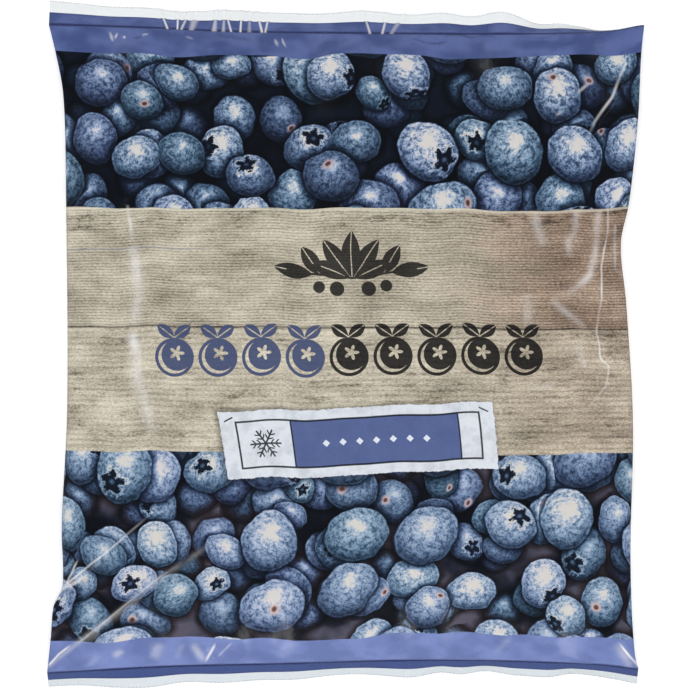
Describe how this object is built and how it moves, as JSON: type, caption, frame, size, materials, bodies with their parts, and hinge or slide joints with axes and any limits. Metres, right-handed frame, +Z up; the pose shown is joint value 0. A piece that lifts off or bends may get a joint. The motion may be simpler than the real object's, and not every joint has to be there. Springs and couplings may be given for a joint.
{
  "type": "sealed pillow bag of frozen blueberries",
  "caption": "Sealed pillow bag of frozen blueberries in opaque printed plastic film, crimped shut at both ends, lying flat on its back with its printed front facing up.",
  "frame": {"origin": "centre of the bag's outline on the surface it lies on", "axes": "+X to the printed front's right, +Y to the top seal, +Z up out of the printed front"},
  "size_m": [0.1792, 0.2072, 0.0294],
  "materials": {
    "printed_film": "thin glossy plastic film printed with blueberries, a pale wood field and violet end bands, crumpled softly over the fruit, with milky unprinted edges on the crimped end seals"
  },
  "bodies": {
    "root": {"bag": "printed_film"}
  },
  "joints": []
}
